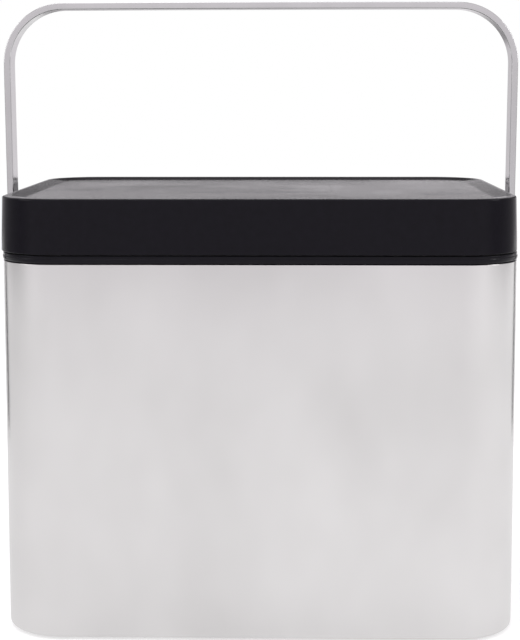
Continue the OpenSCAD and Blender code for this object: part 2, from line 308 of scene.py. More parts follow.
class NodeTree:
    """A node tree under construction, with short ways to add its nodes."""

    def __init__(self, tree):
        self.tree = tree

    def node(self, kind, **settings):
        made = self.tree.nodes.new(kind)
        for key, value in settings.items():
            setattr(made, key, value)
        return made

    def link(self, start, end):
        self.tree.links.new(start, end)

    def math(self, operation, *values):
        """The result of a math node, whose values are numbers or other nodes' outputs."""
        made = self.node("ShaderNodeMath", operation=operation)
        for slot, value in zip(made.inputs, values):
            if hasattr(value, "links"):
                self.link(value, slot)
            else:
                slot.default_value = value
        return made.outputs["Value"]

    def product(self, value, *factors):
        """value times every factor."""
        for each in factors:
            value = self.math("MULTIPLY", value, each)
        return value

    def blend(self, first, second, share):
        """A number that goes from first to second as share goes from 0 to 1."""
        rest = self.product(first, self.math("SUBTRACT", 1.0, share))
        return self.math("ADD", rest, self.product(second, share))

    def ramp(self, value, start, end, low, high, kind="SMOOTHSTEP"):
        """low where value is up to start, high from end on, and a passage between them."""
        made = self.node("ShaderNodeMapRange", interpolation_type=kind)
        for key, number in (("From Min", start), ("From Max", end),
                            ("To Min", low), ("To Max", high)):
            made.inputs[key].default_value = number
        self.link(value, made.inputs["Value"])
        return made.outputs["Result"]

    def split(self, place):
        """The three coordinates of a place or a direction."""
        made = self.node("ShaderNodeSeparateXYZ")
        self.link(place, made.inputs[0])
        return made.outputs


class Finish(NodeTree):
    """A material under construction: its Principled shader and the textures that drive it."""

    def __init__(self, name, metallic=0.0, specular=0.5):
        self.material = bpy.data.materials.new(name)
        self.material.use_nodes = True
        super().__init__(self.material.node_tree)
        self.shader = self.tree.nodes["Principled BSDF"]
        self.set("Metallic", metallic)
        self.set("Specular IOR Level", specular)
        self.place = self.node("ShaderNodeTexCoord").outputs["Object"]
        self.normal = None

    def set(self, socket, value):
        """Writes a number or colour to one of the shader's sockets, or links an output to it."""
        if hasattr(value, "links"):
            self.link(value, self.shader.inputs[socket])
        else:
            self.shader.inputs[socket].default_value = value

    def stretched(self, scale):
        """The place on the piece, scaled by (x, y, z) so that a pattern runs along an axis."""
        mapping = self.node("ShaderNodeMapping")
        mapping.inputs["Scale"].default_value = scale
        self.link(self.place, mapping.inputs["Vector"])
        return mapping.outputs["Vector"]

    def noise(self, scale, detail=2.0, place=None, rough=0.5):
        """Soft noise of the given scale, mostly between 0.3 and 0.7."""
        made = self.node("ShaderNodeTexNoise")
        made.inputs["Scale"].default_value = scale
        made.inputs["Detail"].default_value = detail
        made.inputs["Roughness"].default_value = rough
        self.link(place or self.place, made.inputs["Vector"])
        return made.outputs["Fac"]

    def spread(self, value, low=0.0, high=1.0, from_low=0.3, from_high=0.7):
        """value, which runs from from_low to from_high, moved to run from low to high."""
        return self.ramp(value, from_low, from_high, low, high, "LINEAR")

    def tint(self, amount, dark, light):
        """Base colour that runs from dark to light with amount."""
        made = self.node("ShaderNodeMix", data_type="RGBA")
        self.link(amount, made.inputs["Factor"])
        made.inputs["A"].default_value = (*dark, 1.0)
        made.inputs["B"].default_value = (*light, 1.0)
        self.set("Base Color", (*light, 1.0))
        self.set("Base Color", made.outputs["Result"])

    def bump(self, value, distance, strength=1.0):
        """Relief of the given height in metres, over the relief added before it."""
        made = self.node("ShaderNodeBump")
        made.inputs["Distance"].default_value = distance
        made.inputs["Strength"].default_value = strength
        self.link(value, made.inputs["Height"])
        if self.normal is not None:
            self.link(self.normal, made.inputs["Normal"])
        self.normal = made.outputs["Normal"]
        self.set("Normal", self.normal)


def kept(make):
    """The material that make builds under its own name, made on first use."""
    name = make.__name__
    return bpy.data.materials.get(name) or make(name)


def darker(tone, share=1.0, less=0.0):
    """A darker tone: each part of it times share, minus less."""
    return tuple(share * value - less for value in tone)


def satin_steel(name):
    """Sheet steel, soft polished, with faint upright grain and a cloudy sheen in its roughness;
    its colour holds painted reflection, cloudy patches and upright streaks that make it paler and
    darker.
    """
    light = bpy.context.scene.caddy_body.steel_colour
    look = Finish(name, metallic=1.0)
    grain = look.noise(1.0, 3.0, look.stretched((5200, 5200, 60)), 0.6)
    cloud = look.noise(14.0, 3.0)
    # Painted reflection: cloudy patches and upright streaks that lighten and darken the steel's
    # colour
    reflection_streaks = look.noise(1.0, 2.0, look.stretched((24, 24, 13)))
    painted_reflection = look.spread(look.math("ADD", cloud, reflection_streaks), from_low=0.7, from_high=1.3)
    look.set("Roughness", look.math("ADD", look.spread(grain, -0.012, 0.012),
                                    look.spread(cloud, 0.2, 0.25)))
    look.tint(painted_reflection, darker(light, less=0.085), light)
    look.bump(grain, 0.001 * MM)
    look.bump(look.noise(9.0, 1.0), 1.2 * MM, 0.11)
    return look.material


def strap_steel(name):
    """Bar steel, polished along its length."""
    light = bpy.context.scene.caddy_handle.steel_colour
    look = Finish(name, metallic=1.0)
    fine = look.noise(1.0, 3.0, look.stretched((60, 2400, 60)), 0.6)
    look.set("Roughness", look.spread(fine, 0.11, 0.16))
    look.tint(look.spread(look.noise(60.0)), darker(light, less=0.04), light)
    look.bump(fine, 0.002 * MM)
    return look.material


def zinc_plate(name):
    """Zinc-plated pins, nuts and screws."""
    look = Finish(name, metallic=1.0)
    mottle = look.noise(500.0, 3.0)
    look.set("Roughness", look.spread(mottle, 0.2, 0.36))
    look.tint(look.spread(mottle), (0.55, 0.555, 0.57), (0.68, 0.68, 0.68))
    look.bump(look.noise(3000.0), 0.006 * MM)
    return look.material


def moulded(name, dark, light, sheen, specular=0.5, grain=0.01 * MM, scale=2600.0):
    """Moulded plastic or rubber: a fine spark-eroded grain over slow changes in tone and sheen.

    sheen is the lowest and the highest roughness, and scale is the grain's.
    """
    look = Finish(name, specular=specular)
    look.set("Roughness", look.spread(look.noise(22.0, 3.0), *sheen))
    look.tint(look.spread(look.noise(300.0, 3.0)), dark, light)
    look.bump(look.noise(scale, 2.0), grain)
    look.bump(look.noise(30.0, 1.0), 0.4 * MM, 0.1)
    return look.material


def satin_black_plastic(name):
    """Smooth black plastic of the lid and the collar."""
    tone = bpy.context.scene.caddy_lid.plastic_colour
    return moulded(name, darker(tone, 0.8), tone, (0.12, 0.16), specular=0.15)


def charcoal_grey_plastic(name):
    """Dark grey plastic of the base plate, the liner and the filter door."""
    return moulded(name, (0.045, 0.046, 0.05), (0.06, 0.061, 0.065), (0.42, 0.5),
                   grain=0.02 * MM)


def bucket_grey_plastic(name):
    """Mid grey plastic of the inner bucket."""
    return moulded(name, (0.085, 0.087, 0.09), (0.11, 0.112, 0.115), (0.36, 0.46),
                   grain=0.02 * MM)


def natural_nylon(name):
    """Uncoloured nylon of the pivot washers."""
    return moulded(name, (0.55, 0.54, 0.5), (0.66, 0.65, 0.61), (0.4, 0.5))


def rubber(name, tone):
    """Matt rubber with a coarser grain."""
    return moulded(name, darker(tone, 0.85), tone, (0.6, 0.75), specular=0.3,
                   grain=0.04 * MM, scale=1800.0)


def foot_rubber(name):
    """Black rubber of the feet."""
    return rubber(name, (0.022, 0.022, 0.023))


def seal_rubber(name):
    """Dark grey rubber of the lid's seal."""
    return rubber(name, (0.07, 0.07, 0.073))


def charcoal_felt(name):
    """Needled felt filled with charcoal: matted fibres and pale flecks."""
    look = Finish(name, specular=0.2)
    fibres = look.noise(700.0, 6.0, look.stretched((1, 1.7, 1)), 0.75)
    look.set("Roughness", 0.9)
    look.tint(look.spread(fibres, from_low=0.35, from_high=0.75), (0.012, 0.012, 0.013),
              (0.06, 0.06, 0.062))
    look.bump(fibres, 0.6 * MM)
    look.set("Sheen Weight", 0.3)
    return look.material


# ---- body

def make_sleeve():
    """The steel sleeve, turned under at the foot, with a bore for each pivot."""
    sizes = bpy.context.scene.caddy_body
    sheet, turn, edge = sizes.sheet, sizes.foot_turn, sizes.turned_edge
    low, high = sizes.foot_offset, sizes.top_offset
    rolled, cut, bore_r = 0.49 * sheet, 0.3 * sheet, 3.2 * MM
    sleeve = eased_skin(body_line(), [
        (-edge, STEEL_Z, rolled), (low, STEEL_Z, turn), (high, STEEL_TOP, cut),
        (high - sheet, STEEL_TOP, cut), (low - sheet, STEEL_Z + sheet, turn - sheet),
        (-edge, STEEL_Z + sheet, rolled),
    ], closed=True, steps=6)
    obj = raw_object("steel_sleeve", [sleeve])
    bore = rod(bore_r, HALF_W - 10 * MM, HALF_W + MM, MID_Y, PIVOT_Z, steps=32)
    combine(obj, both(bore), "DIFFERENCE")
    finish_piece(obj, "caddy_body", satin_steel, ["outer_body"])


def make_base():
    """The base plate keeps its shape; the rubber feet are turned discs with a worn edge."""
    soften_node("base_plate", charcoal_grey_plastic)
    pad_top = STEEL_Z + bpy.context.scene.caddy_body.sheet
    dimple = 0.4 * MM
    for name in ("foot_front_left", "foot_front_right", "foot_rear_left", "foot_rear_right"):
        low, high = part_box(name)
        x, y = (low.x + high.x) / 2, (low.y + high.y) / 2
        radius = (high.x - low.x) / 2
        stem = radius - 3 * MM
        foot = eased_skin(disc(radius, (x, y)), [
            (-radius + 2.5 * MM, low.z + dimple, 0), (-2.6 * MM, low.z + dimple, 0),
            (-2.2 * MM, low.z, 0.2 * MM), (0, low.z, 0.5 * MM), (-0.2 * MM, pad_top, 0.1 * MM),
            (-stem, pad_top, 0), (-stem, high.z - 0.5 * MM, 0.2 * MM), (-stem - MM, high.z, 0),
        ])
        obj = raw_object(name.replace("foot", "rubber_foot"), [foot])
        finish_piece(obj, "caddy_body", foot_rubber, [name])


def make_collar():
    """The moulded collar: a band over the steel, a skirt inside it, ears and hinge knuckles."""
    sizes = bpy.context.scene.caddy_body
    band, lip_z = sizes.collar_out, COLLAR_TOP - sizes.collar_lip
    lip = band - 0.25 * MM
    skirt_out = sizes.top_offset - sizes.sheet - 0.15 * MM
    skirt_in, rim_in, throat = -2.8 * MM, -4.6 * MM, -7 * MM
    ring = eased_skin(body_line(), [
        (skirt_in, COLLAR_LOW.z, 0.3 * MM), (skirt_out, COLLAR_LOW.z, 0.3 * MM),
        (skirt_out, STEEL_TOP, 0), (band - 1.9 * MM, STEEL_TOP + 0.05 * MM, 0),
        (band, STEEL_TOP + 0.15 * MM, 1.6 * MM), (band, lip_z - 0.4 * MM, 0.15 * MM),
        (lip, lip_z, 0.1 * MM), (lip, COLLAR_TOP, 0.3 * MM),
        (rim_in, COLLAR_TOP, 0.3 * MM), (rim_in, SHELF_Z, 0.2 * MM),
        (throat, SHELF_Z, 0.4 * MM), (throat, SHELF_Z - 2 * MM, 0.4 * MM),
        (skirt_in, SHELF_Z - 2 * MM, 0.5 * MM),
    ], closed=True)
    obj = raw_object("collar_band", [ring])

    ear_r, ease, steps = 9 * MM, 0.5 * MM, 32
    inner, outer = HALF_W - 0.5 * MM, COLLAR_HIGH.x

    def ear(off):
        """The ear in Y and Z: half a disc below the pivot and straight sides above it."""
        radius = ear_r + off
        arc = [(MID_Y + radius * cos(a), PIVOT_Z + radius * sin(a))
               for a in (pi + pi * k / steps for k in range(steps + 1))]
        top = COLLAR_TOP - 0.3 * MM
        return arc + [(MID_Y + radius, top), (MID_Y - radius, top)]

    lug = eased_skin(ear, [(0, inner, 0), (0, outer, ease), (-2 * ease, outer, 0)], axis="X")
    root = block(
        (HALF_W - 2 * MM, MID_Y - ear_r + 0.05 * MM, STEEL_HIGH.z + 0.2 * MM),
        (outer - ease, MID_Y + ear_r - 0.05 * MM, COLLAR_TOP - 0.35 * MM))
    added = both(root) + both(lug)
    for near, far in ((-17.2, -8.2), (8.2, 17.2)):
        added += both(knuckle(HINGE_X + near * MM, HINGE_X + far * MM, COLLAR_TOP, lid=False))
    combine(obj, added, "UNION")

    pivot_bore = rod(3.0 * MM, HALF_W - 12 * MM, outer + MM, MID_Y, PIVOT_Z)
    hinge_bore = rod(HINGE_PIN_R, HINGE_LOW.x - 0.9 * MM, HINGE_HIGH.x + MM, HINGE_Y, HINGE_Z)
    combine(obj, both(pivot_bore) + both(hinge_bore), "DIFFERENCE")
    finish_piece(obj, "caddy_body", satin_black_plastic, ["collar"])


def knuckle(x0, x1, edge_z, lid):
    """A hinge knuckle and its web as one rounded tongue, drawn in Y and Z.

    The lid's knuckles come down to the pin from above, and the collar's come up to it.
    """
    knuckle_r, ease, steps = 3.8 * MM, 0.3 * MM, 36
    up = 1 if lid else -1
    root = MID_Y + HALF_D - (1.9 if lid else 2.6) * MM

    def outline(off):
        radius = knuckle_r + off
        angles = [up * (pi / 2 - 1.5 * pi * k / steps) for k in range(steps + 1)]
        arc = [(HINGE_Y + radius * cos(a), HINGE_Z + radius * sin(a)) for a in angles]
        return arc + [(HINGE_Y - radius, edge_z), (root, edge_z), (root, HINGE_Z + up * radius)]

    corners = [(-2 * ease, x0, 0), (0, x0, ease), (0, x1, ease), (-2 * ease, x1, 0)]
    return eased_skin(outline, corners, axis="X", steps=3)


def make_bucket():
    """The lift-out bucket: drafted, with a rolled rim and two finger tabs."""
    wall, kick = 1.6 * MM, 0.6 * MM
    rim, top, low, middle = -4.8 * MM, -7.5 * MM, -11.5 * MM, -30 * MM
    under, floor_z = BUCKET_LOW.z, BUCKET_LOW.z + wall
    shell = eased_skin(rounded_box(HALF_W, HALF_D, 31 * MM, (0.0, MID_Y)), [
        (middle, floor_z + kick, 0), (-24 * MM, floor_z + kick, 0.3 * MM),
        (-22.5 * MM, floor_z, 0.3 * MM), (low - wall, floor_z, 4.4 * MM),
        (top - wall, COLLAR_TOP, 0.6 * MM), (rim, COLLAR_TOP, 0.6 * MM),
        (rim, SHELF_Z, 0.3 * MM), (top, SHELF_Z, 0.2 * MM),
        (low, under, 6 * MM), (-24 * MM, under, 0.5 * MM),
        (-25.5 * MM, under + kick, 0.5 * MM), (middle, under + kick, 0),
    ], steps=5)
    obj = raw_object("inner_bucket_shell", [shell])
    tab_w, tab_d, tab_r = 44 * MM, 8 * MM, 4 * MM
    root = wall + 1.15 * MM
    x = HALF_W + top - wall + (root - tab_d) / 2
    tab_line = rounded_box((tab_d + root) / 2, tab_w / 2, tab_r, (x, MID_Y), 8)
    tab = slab(tab_line, SHELF_Z, COLLAR_TOP - 0.02 * MM, ease=0.6 * MM)
    combine(obj, both(tab), "UNION")
    finish_piece(obj, "caddy_body", bucket_grey_plastic, ["inner_bucket"])


# ---- handle

def bail_path(x, top, bend, crown):
    """Stations along the bail's middle line, as (point, direction to its outer face)."""
    arm_top, half = top - bend, x - bend
    arm_steps, bend_steps, bar_steps = 24, 24, 8
    stations = []
    for k in range(arm_steps + 1):
        z = PIVOT_Z + (arm_top - PIVOT_Z) * k / arm_steps
        stations.append((Vector((-x, 0, z)), Vector((-1, 0, 0))))
    for k in range(1, bend_steps + 1):
        angle = pi - k / bend_steps * pi / 2
        out = Vector((cos(angle), 0, sin(angle)))
        stations.append((Vector((-half, 0, arm_top)) + bend * out, out))
    for k in range(1, bar_steps + 1):
        stations.append((Vector((-half + half * k / bar_steps, 0, top)), Vector((0, 0, 1))))
    stations += [(Vector((-p.x, 0, p.z)), Vector((-n.x, 0, n.z))) for p, n in stations[-2::-1]]
    return [(point + Vector((0, 0, crown * max(0.0, 1 - (point.x / half) ** 2))), out)
            for point, out in stations]


def make_strap():
    """A flat bar bent to a bail, with rounded ends round the pivots and eased edges."""
    sizes = bpy.context.scene.caddy_handle
    thick, ease = sizes.strap_thickness, sizes.edge_ease
    face = thick / 2
    path = bail_path(STRAP_HIGH.x - face, STRAP_HIGH.z - face, sizes.bend_radius - face,
                     sizes.crown)
    rim = eased([(-2 * ease, face, 0), (0, face, ease), (0, -face, ease), (-2 * ease, -face, 0)])
    # The ends fan round the pivots by angle; between them the bar has its full width
    end_steps = 14
    fan = [k / end_steps * pi / 2 for k in range(end_steps)]
    stations = [(path[0], angle) for angle in fan]
    stations += [(station, pi / 2) for station in path]
    stations += [(path[-1], angle) for angle in reversed(fan)]
    # The bail leans to the left above its pivots, over a short length of its arms
    lean_from, lean_over = PIVOT_Z + 10 * MM, 28 * MM
    verts = []
    for (point, out), angle in stations:
        for side, points in ((1, rim), (-1, rim[::-1])):
            for off, up in points:
                radius = STRAP_W / 2 + off
                spot = point + out * up
                rise = min(1.0, max(0.0, (spot.z - lean_from) / lean_over))
                lean = sizes.lean * rise * rise * (3 - 2 * rise)
                verts.append((spot.x - lean, MID_Y + side * radius * sin(angle),
                              spot.z - radius * cos(angle)))
    faces = ring_faces(2 * len(rim), len(stations))
    obj = raw_object("bail_strap", [(verts, faces)])
    hole_r = 3.06 * MM
    hole = rod(hole_r, STRAP_HIGH.x - thick - MM, STRAP_HIGH.x + MM, MID_Y, PIVOT_Z)
    combine(obj, both(hole), "DIFFERENCE")
    finish_piece(obj, "handle", strap_steel, ["handle_strap"])


def make_pivots():
    """Domed pivot rivets and hinge rods; the washers and nuts keep their shape."""
    outer, inner = PIVOT_HIGH.x, PIVOT_LOW.x
    head_x, head_r, shaft_r = outer - 1.3 * MM, 5.5 * MM, 3.0 * MM
    shaft = shaft_r - head_r
    right_rivet = eased_skin(disc(head_r, (MID_Y, PIVOT_Z)), [
        (shaft - 1.8 * MM, inner, 0), (shaft, inner, 0.5 * MM), (shaft, head_x, 0.1 * MM),
        (0, head_x, 0.15 * MM), (0, head_x + 0.45 * MM, 0.3 * MM),
        (-2.6 * MM, outer - 0.05 * MM, 1.5 * MM), (-head_r + 0.6 * MM, outer, 0),
    ], axis="X")
    right_pin = rod(HINGE_PIN_R, HINGE_LOW.x, HINGE_HIGH.x, HINGE_Y, HINGE_Z, ease=0.4 * MM)
    for word, rivet, pin in (("left", mirrored(right_rivet), mirrored(right_pin)),
                             ("right", right_rivet, right_pin)):
        obj = raw_object(f"{word}_pivot_rivet", [rivet])
        finish_piece(obj, "caddy_body", zinc_plate, [f"{word}_pivot_pin"])
        soften_node(f"{word}_pivot_washer", natural_nylon, 0.15 * MM)
        soften_node(f"{word}_pivot_nut", zinc_plate)
        obj = raw_object(f"{word}_hinge_rod", [pin])
        finish_piece(obj, "caddy_body", zinc_plate, [f"{word}_hinge_pin"])


# ---- lid

def make_lid():
    """The lid's shell with its screw bosses and hinge knuckles, and the plate let into its top."""
    sizes = bpy.context.scene.caddy_lid
    low_z = COLLAR_TOP + 0.6 * MM
    low, high = sizes.low_offset, sizes.low_offset - sizes.draft
    rim_in = high - sizes.rim_width
    wall, roof, middle = 1.8 * MM, 2.2 * MM, -20 * MM
    under, slope_foot = PANEL_Z - roof, 18 * MM
    cap = eased_skin(body_line(x=-sizes.shift), [
        (middle, under, 0), (high - wall, under, 1.0 * MM),
        (low - wall, low_z, 0.4 * MM), (low, low_z, 0.35 * MM),
        (high, LID_TOP, 0.8 * MM), (rim_in, LID_TOP, 0.35 * MM),
        (rim_in - sizes.recess_slope, PANEL_Z, slope_foot), (middle, PANEL_Z, 0),
    ], steps=6)
    obj = raw_object("lid_cap", [cap])
    bosses = [peg(3.5 * MM, LINER_TOP, under + MM, x, y) for x, y in screw_places()]
    x0, x1 = HINGE_X - 8 * MM, HINGE_X + 8 * MM
    combine(obj, bosses + both(knuckle(x0, x1, low_z, lid=True)), "UNION")

    plate_base = PLATE_LOW.z
    pocket = skin(plate_line(0.3 * MM), [
        (0, plate_base), (0, PANEL_Z - 0.1 * MM), (0.2 * MM, PANEL_Z + 0.1 * MM)])
    vents = [slab(rounded_box(2 * MM, 18 * MM, 1.5 * MM, (8 * MM * k, MID_Y), 8),
                  under - MM, plate_base + 0.1 * MM) for k in range(-2, 3)]
    holes = [peg(1.3 * MM, LINER_TOP - 2 * MM, under, x, y, 16) for x, y in screw_places()]
    bore = rod(HINGE_PIN_R + 0.06 * MM, x0 - MM, x1 + MM, HINGE_Y, HINGE_Z)
    combine(obj, [pocket] + vents + holes + both(bore), "DIFFERENCE")
    finish_piece(obj, "lid", satin_black_plastic, ["lid_shell"])

    plate = slab(plate_line(0.2 * MM), plate_base, PLATE_HIGH.z, ease=0.15 * MM)
    obj = raw_object("lid_centre_plate", [plate])
    finish_piece(obj, "lid", satin_black_plastic, ["centre_plate"])


def screw_places():
    """The six screws' places: three at the front and three at the back."""
    head_r = 3 * MM
    x, y0, y1 = SCREWS_HIGH.x - head_r, SCREWS_LOW.y + head_r, SCREWS_HIGH.y - head_r
    return [(sx * x, y) for sx in (-1, 0, 1) for y in (y0, y1)]


def make_lid_inside():
    """Liner, seal, screws, charcoal pad and the pad's slotted door."""
    soften_node("lid_liner", charcoal_grey_plastic)
    soften_node("filter_cover", charcoal_grey_plastic, 0.3 * MM)
    make_seal()
    make_screws()
    make_filter_pad()


def make_seal():
    """The rubber seal: a ring that grips the liner's rib from below."""
    low, high = SEAL_LOW.z, SEAL_HIGH.z
    out = SEAL_HIGH.x - HALF_W
    rib_out, rib_in, inner = out - 1 * MM, out - 3 * MM, out - 4 * MM
    rib_z, lip, bead = low + 2 * MM, 0.45 * MM, 0.9 * MM
    seal = eased_skin(body_line(20), [
        (out, low, bead), (out, high, lip), (rib_out, high, 0), (rib_out, rib_z, 0),
        (rib_in, rib_z, 0), (rib_in, high, 0), (inner, high, lip), (inner, low, bead),
    ], closed=True)
    obj = raw_object("lid_seal_bead", [seal])
    finish_piece(obj, "lid", seal_rubber, ["lid_seal"])


def make_screws():
    """The liner's six screws, with domed cross-slotted heads that point down."""
    head, end = SCREWS_LOW.z, SCREWS_HIGH.z
    seat, deep = head + 1.6 * MM, head + 0.9 * MM
    head_r, shaft = 3 * MM, -1.7 * MM
    corners = [
        (-2.6 * MM, head, 0), (-1.2 * MM, head + 0.05 * MM, 0.8 * MM),
        (0, head + 0.7 * MM, 0.4 * MM), (0, seat, 0.1 * MM), (shaft, seat, 0),
        (shaft, end - MM, 0.2 * MM), (-2.8 * MM, end, 0),
    ]
    long, narrow = 1.7 * MM, 0.45 * MM
    screws, slots = [], []
    for x, y in screw_places():
        screws.append(eased_skin(disc(head_r, (x, y), 32), corners, steps=3))
        for w, d in ((long, narrow), (narrow, long)):
            slots.append(block((x - w, y - d, head - MM), (x + w, y + d, deep)))
    obj = raw_object("lid_screw_set", screws)
    combine(obj, slots, "DIFFERENCE")
    finish_piece(obj, "lid", zinc_plate, ["lid_screws"])


def make_filter_pad():
    """The charcoal pad: a pressed felt with soft corners and a faintly lumpy face."""
    half_w = (FILTER_HIGH.x - FILTER_LOW.x) / 2
    half_d = (FILTER_HIGH.y - FILTER_LOW.y) / 2
    across, along = 40, 28
    row = across + 1
    bulge, lump, soft, sunk = 0.25 * MM, 0.06 * MM, 1.44 * MM, 0.37 * MM
    flat, waist = 0.93, 0.004

    def height(u, v):
        """How far the face lies outside its flat place, for u and v from -1 to 1."""
        edge = max(abs(u), abs(v))
        crown = bulge * (1 - u * u) * (1 - v * v)
        lumps = lump * sin(9 * u + 3 * v) * sin(7 * v - 2 * u) * (1 - edge ** 6)
        drop = soft * max(0.0, (edge - flat) / (1 - flat)) ** 2
        return crown + lumps - drop - sunk

    verts, faces = [], []
    for side, base in ((1, FILTER_HIGH.z), (-1, FILTER_LOW.z)):
        for j in range(along + 1):
            for i in range(row):
                u, v = 2 * i / across - 1, 2 * j / along - 1
                verts.append((u * half_w * (1 - waist * v * v), MID_Y + v * half_d,
                              base + side * height(u, v)))
    n = row * (along + 1)
    for side in (0, 1):
        for j in range(along):
            for i in range(across):
                a = side * n + j * row + i
                quad = (a, a + 1, a + row + 1, a + row)
                faces.append(quad if side == 0 else quad[::-1])
    border = (list(range(row))
              + [j * row + across for j in range(1, along + 1)]
              + [along * row + i for i in range(across - 1, -1, -1)]
              + [j * row for j in range(along - 1, 0, -1)])
    for k, a in enumerate(border):
        b = border[(k + 1) % len(border)]
        faces.append((b, a, a + n, b + n))
    obj = raw_object("charcoal_pad", [(verts, faces)])
    finish_piece(obj, "lid", charcoal_felt, ["charcoal_filter"], smooth=80)


# ---- stage

def make_floor():
    """A pale floor: it glows where the camera or a mirror sees it, and keeps the shadow."""
    stage = bpy.context.scene.caddy_stage
    half = stage.floor_size / 2
    corners = [(-half, -half, 0), (half, -half, 0), (half, half, 0), (-half, half, 0)]
    floor = raw_object("floor", [(corners, [(0, 1, 2, 3)])])
    material = bpy.data.materials.new("pale_floor")
    material.use_nodes = True
    nodes = NodeTree(material.node_tree)
    nodes.tree.nodes.clear()
    math, product, ramp = nodes.math, nodes.product, nodes.ramp
    seen = nodes.node("ShaderNodeLightPath").outputs
    mirror = math("MAXIMUM", seen["Is Glossy Ray"], seen["Is Transmission Ray"])
    x, y, _ = nodes.split(nodes.node("ShaderNodeTexCoord").outputs["Object"])
    # aside is the angle from straight ahead of the caddy, and away the distance from it
    aside = math("ARCTAN2", math("ABSOLUTE", x), math("MULTIPLY", y, -1.0))
    away = math("SQRT", math("ADD", math("MULTIPLY", x, x), math("MULTIPLY", y, y)))
    # A soft darker stripe along the middle, from half a metre out
    stripe = product(ramp(math("ABSOLUTE", x), 0.03, 0.16, 0.12, 0.0),
                     ramp(away, 0.5, 1.0, 0.0, 1.0))
    glow = product(
        ramp(away, 0.15, 1.3, stage.floor_mirror_near, stage.floor_mirror_far),
        ramp(aside, radians(60), radians(95), 1.0, 0.97),  # darker beside and behind
        ramp(x, 0.0, 0.5, 1.0, 1.035),  # paler on the right
        ramp(x, -0.6, -0.25, 0.9, 1.0),  # darker far out on the left
        ramp(away, 0.9, 1.3, 1.0, 1.2),  # paler far off
        ramp(away, 0.1, 0.2, 0.93, 1.0),  # darker close by
        math("SUBTRACT", 1.0, stripe))
    strength = math("ADD", product(mirror, glow),
                    product(seen["Is Camera Ray"], stage.floor_glow))
    white = nodes.node("ShaderNodeEmission")
    nodes.link(strength, white.inputs["Strength"])
    # The paper itself is pale, and dark in mirrors, where the glow takes its place
    pale, dark = 0.82, 0.16
    paper = nodes.node("ShaderNodeBsdfDiffuse")
    nodes.link(math("MULTIPLY_ADD", mirror, dark - pale, pale), paper.inputs["Color"])
    added = nodes.node("ShaderNodeAddShader")
    nodes.link(paper.outputs[0], added.inputs[0])
    nodes.link(white.outputs[0], added.inputs[1])
    nodes.link(added.outputs[0], nodes.node("ShaderNodeOutputMaterial").inputs["Surface"])
    floor.data.materials.append(material)


def make_cards():
    """Two dark cards behind the object that only mirrors see, to draw the steel's edges."""
    stage = bpy.context.scene.caddy_stage
    material = bpy.data.materials.new("dark_card")
    material.use_nodes = True
    shader = material.node_tree.nodes["Principled BSDF"]
    shader.inputs["Base Color"].default_value = (0.03, 0.03, 0.03, 1)
    shader.inputs["Specular IOR Level"].default_value = 0
    corner_y = MID_Y - HALF_D + 14 * MM
    for word, side, bearing in (("left", -1, radians(42)), ("right", 1, radians(36))):
        along = Vector((side * sin(bearing), cos(bearing), 0))
        across = Vector((along.y, -along.x, 0))
        middle = Vector((side * HALF_W, corner_y, 0)) + stage.card_distance * along
        half = across * stage.card_width / 2
        top = Vector((0, 0, stage.card_height))
        corners = [middle - half, middle + half, middle + half + top, middle - half + top]
        card = raw_object(f"{word}_card", [([tuple(v) for v in corners], [(0, 1, 2, 3)])])
        card.data.materials.append(material)
        card.visible_camera = False
        card.visible_diffuse = False
        card.visible_shadow = False


def make_world():
    """The studio's light by direction, white where the camera sees it.

    Straight behind the object it is middling up to the horizon, pale just over it and
    dark higher up, and brighter to the right. A dimmer strip stands on each side of that,
    then come the sides and the paler front. Overhead is one even tone.
    """
    stage = bpy.context.scene.caddy_stage
    world = bpy.data.worlds.new("studio")
    bpy.context.scene.world = world
    world.use_nodes = True
    nodes = NodeTree(world.node_tree)
    nodes.tree.nodes.clear()
    math, product, ramp = nodes.math, nodes.product, nodes.ramp
    x, y, z = nodes.split(nodes.node("ShaderNodeTexCoord").outputs["Generated"])
    # Bearing away from straight behind the object, 0 to pi, the same on both sides
    bearing = math("ARCTAN2", math("ABSOLUTE", x), y)
    to_strip = radians(28), radians(34)
    to_side = radians(46), radians(56)
    to_front = radians(105), radians(135)

    behind = product(ramp(z, 0.04, 0.06, stage.back_low, stage.back_light),
                     ramp(z, 0.064, 0.1, 1.0, stage.back_fall),
                     ramp(x, -0.12, 0.12, 1.0, 1.18))
    back = nodes.blend(behind, stage.edge_dark, ramp(bearing, *to_strip, 0.0, 1.0))
    # Down towards the floor's far edge the back is darker on the left
    below = math("MAXIMUM", ramp(z, -0.1, -0.06, 0.4, 1.0), ramp(x, -0.1, 0.1, 0.0, 1.0))
    back = product(back, below)
    side = ramp(bearing, *to_side, 0.0, stage.side_light - stage.edge_dark)
    front = ramp(bearing, *to_front, 0.0, stage.front_light - stage.side_light)
    # In front it is a little brighter over the horizon
    above = product(ramp(bearing, *to_front, 0.0, 0.12), ramp(z, 0.01, 0.05, 0.0, 1.0))
    low = math("ADD", math("ADD", back, side), math("ADD", front, above))
    light = nodes.blend(low, stage.top_light, ramp(z, 0.22, 0.6, 0.0, 1.0))

    mix = nodes.node("ShaderNodeMixShader")
    nodes.link(nodes.node("ShaderNodeLightPath").outputs["Is Camera Ray"], mix.inputs[0])
    studio = nodes.node("ShaderNodeBackground")
    studio.inputs["Color"].default_value = (*stage.light_colour, 1.0)
    nodes.link(light, studio.inputs["Strength"])
    white = nodes.node("ShaderNodeBackground")
    white.inputs["Color"].default_value = (1.0, 1.0, 1.0, 1.0)
    nodes.link(studio.outputs[0], mix.inputs[1])
    nodes.link(white.outputs[0], mix.inputs[2])
    nodes.link(mix.outputs[0], nodes.node("ShaderNodeOutputWorld").inputs["Surface"])


